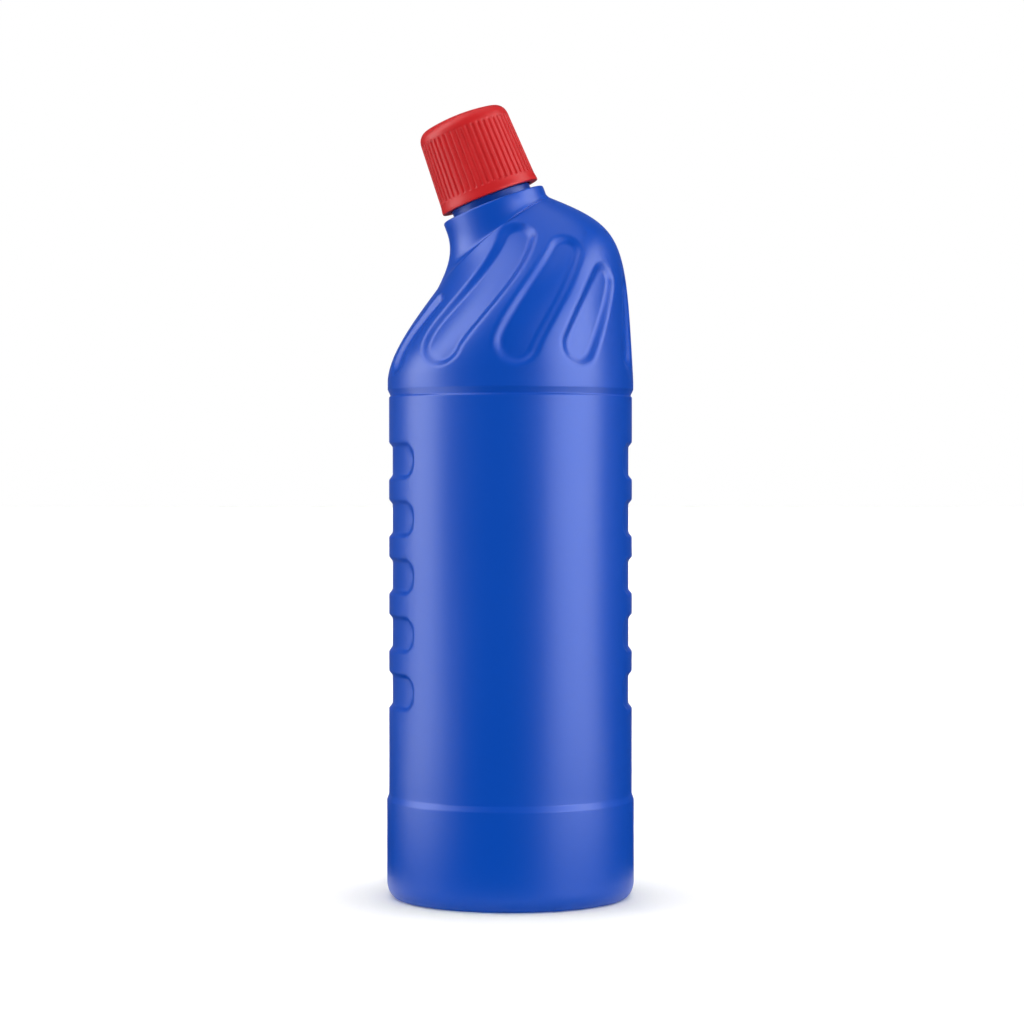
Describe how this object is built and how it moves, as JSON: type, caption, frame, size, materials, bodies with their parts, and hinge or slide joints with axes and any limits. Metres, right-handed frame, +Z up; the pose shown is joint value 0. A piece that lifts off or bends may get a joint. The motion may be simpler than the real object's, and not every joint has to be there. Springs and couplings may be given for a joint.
{
  "type": "drain cleaner bottle",
  "caption": "Round blow-moulded bottle with a leaning neck, finger recesses down both sides, a domed shoulder with slanted oval recesses, and a ribbed screw cap over a sealing disc.",
  "frame": {"origin": "centre of the standing ring, on the table", "axes": "+Z up along the body's axis; the neck and cap lean towards -X; +Y is the back"},
  "size_m": [0.0824, 0.0824, 0.2636],
  "materials": {
    "blue_hdpe": "satin",
    "red_pp": "satin",
    "foam_liner": "matte"
  },
  "bodies": {
    "bottle": {"bottle": "blue_hdpe"},
    "liner": {"cap_liner": "foam_liner"},
    "cap": {"cap": "red_pp"}
  },
  "joints": [
    {"name": "cap_lift", "type": "slide", "parent": "bottle", "child": "liner", "axis": [-0.3584, 0, 0.9336], "range_m": [0, 0.0318]},
    {"name": "cap_turn", "type": "hinge", "parent": "liner", "child": "cap", "pos_m": [0, 0, 0.2155], "axis": [-0.3584, 0, 0.9336], "range_deg": [0, 2700]}
  ],
  "couplings": [
    {"joint": "cap_lift", "follows": "cap_turn", "m_per_rad": 0.00067376}
  ]
}
